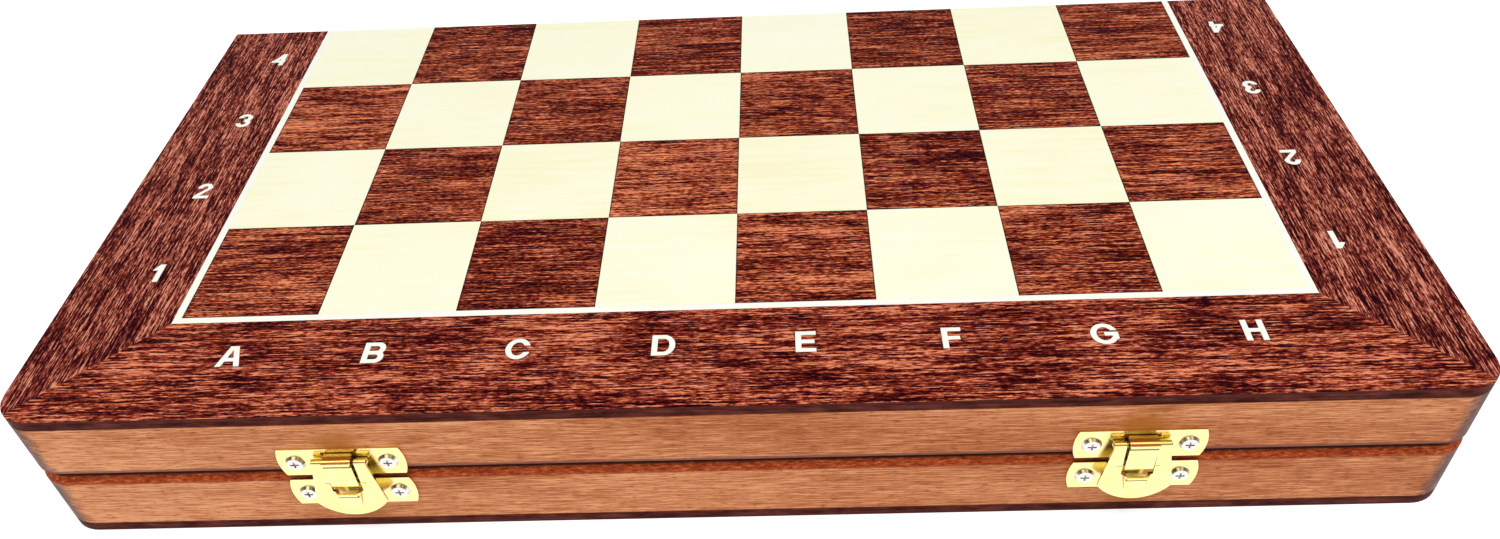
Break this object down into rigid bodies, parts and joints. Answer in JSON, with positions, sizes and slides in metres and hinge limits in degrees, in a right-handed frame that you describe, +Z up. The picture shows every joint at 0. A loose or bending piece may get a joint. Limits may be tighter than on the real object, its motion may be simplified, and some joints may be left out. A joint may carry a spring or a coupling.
{
  "type": "folding chessboard",
  "caption": "Folding wooden chessboard box with inlaid squares outside, a lined tray in each half, butt hinges at the back and brass draw catches in front.",
  "frame": {"origin": "centre of the underside of the closed box, on the surface it rests on", "axes": "+X to the right along the front, from file A to file H; +Y from the catches to the hinges; +Z up"},
  "size_m": [0.38, 0.1969, 0.0459],
  "materials": {
    "dark_veneer": "satin lacquer over dark red-brown veneer",
    "light_veneer": "satin lacquer over pale cream veneer",
    "border_veneer": "satin lacquer over dark red-brown veneer",
    "pale_inlay": "satin lacquer over pale inlay",
    "panel_edge": "dark stained edge",
    "rail_wood": "satin lacquer over fine-grained orange-brown wood",
    "lining": "matte felt",
    "catch_brass": "polished",
    "hinge_brass": "polished",
    "steel_pins": "drawn wire",
    "screws": "nickel plated"
  },
  "bodies": {
    "lower_half": {"lower_board_core": "panel_edge", "lower_dark_squares": "dark_veneer", "lower_light_squares": "light_veneer", "lower_stringing": "pale_inlay", "lower_coordinates": "pale_inlay", "lower_front_border": "border_veneer", "lower_left_border": "border_veneer", "lower_right_border": "border_veneer", "lower_front_rail": "rail_wood", "lower_left_rail": "rail_wood", "lower_right_rail": "rail_wood", "lower_back_rail": "rail_wood", "lower_felt": "lining", "hinge_left_lower_leaf": "hinge_brass", "hinge_left_pin": "steel_pins", "hinge_left_lower_screws": "screws", "catch_left_base_plate": "catch_brass", "catch_left_base_screws": "screws", "catch_left_pivot_pin": "steel_pins", "hinge_right_lower_leaf": "hinge_brass", "hinge_right_pin": "steel_pins", "hinge_right_lower_screws": "screws", "catch_right_base_plate": "catch_brass", "catch_right_base_screws": "screws", "catch_right_pivot_pin": "steel_pins"},
    "upper_half": {"upper_board_core": "panel_edge", "upper_dark_squares": "dark_veneer", "upper_light_squares": "light_veneer", "upper_stringing": "pale_inlay", "upper_coordinates": "pale_inlay", "upper_front_border": "border_veneer", "upper_left_border": "border_veneer", "upper_right_border": "border_veneer", "upper_front_rail": "rail_wood", "upper_left_rail": "rail_wood", "upper_right_rail": "rail_wood", "upper_back_rail": "rail_wood", "upper_felt": "lining", "hinge_left_upper_leaf": "hinge_brass", "hinge_left_upper_screws": "screws", "catch_left_strike_plate": "catch_brass", "catch_left_strike_screws": "screws", "hinge_right_upper_leaf": "hinge_brass", "hinge_right_upper_screws": "screws", "catch_right_strike_plate": "catch_brass", "catch_right_strike_screws": "screws"},
    "left_lever": {"catch_left_lever": "catch_brass", "catch_left_hook_pin": "steel_pins"},
    "left_hook": {"catch_left_hook": "catch_brass"},
    "right_lever": {"catch_right_lever": "catch_brass", "catch_right_hook_pin": "steel_pins"},
    "right_hook": {"catch_right_hook": "catch_brass"}
  },
  "joints": [
    {"name": "box_hinge", "type": "hinge", "parent": "lower_half", "child": "upper_half", "pos_m": [0, 0.0951, 0.02295], "axis": [-1, 0, 0], "range_deg": [0, 180]},
    {"name": "left_lever_hinge", "type": "hinge", "parent": "lower_half", "child": "left_lever", "pos_m": [-0.103, -0.09705, 0.02995], "axis": [-1, 0, 0], "range_deg": [0, 120]},
    {"name": "left_hook_hinge", "type": "hinge", "parent": "left_lever", "child": "left_hook", "pos_m": [-0.103, -0.09775, 0.0224], "axis": [-1, 0, 0], "range_deg": [-120, 0]},
    {"name": "right_lever_hinge", "type": "hinge", "parent": "lower_half", "child": "right_lever", "pos_m": [0.103, -0.09705, 0.02995], "axis": [-1, 0, 0], "range_deg": [0, 120]},
    {"name": "right_hook_hinge", "type": "hinge", "parent": "right_lever", "child": "right_hook", "pos_m": [0.103, -0.09775, 0.0224], "axis": [-1, 0, 0], "range_deg": [-120, 0]}
  ],
  "couplings": [
    {"joint": "left_hook_hinge", "follows": "left_lever_hinge", "ratio": -1},
    {"joint": "right_hook_hinge", "follows": "right_lever_hinge", "ratio": -1}
  ]
}
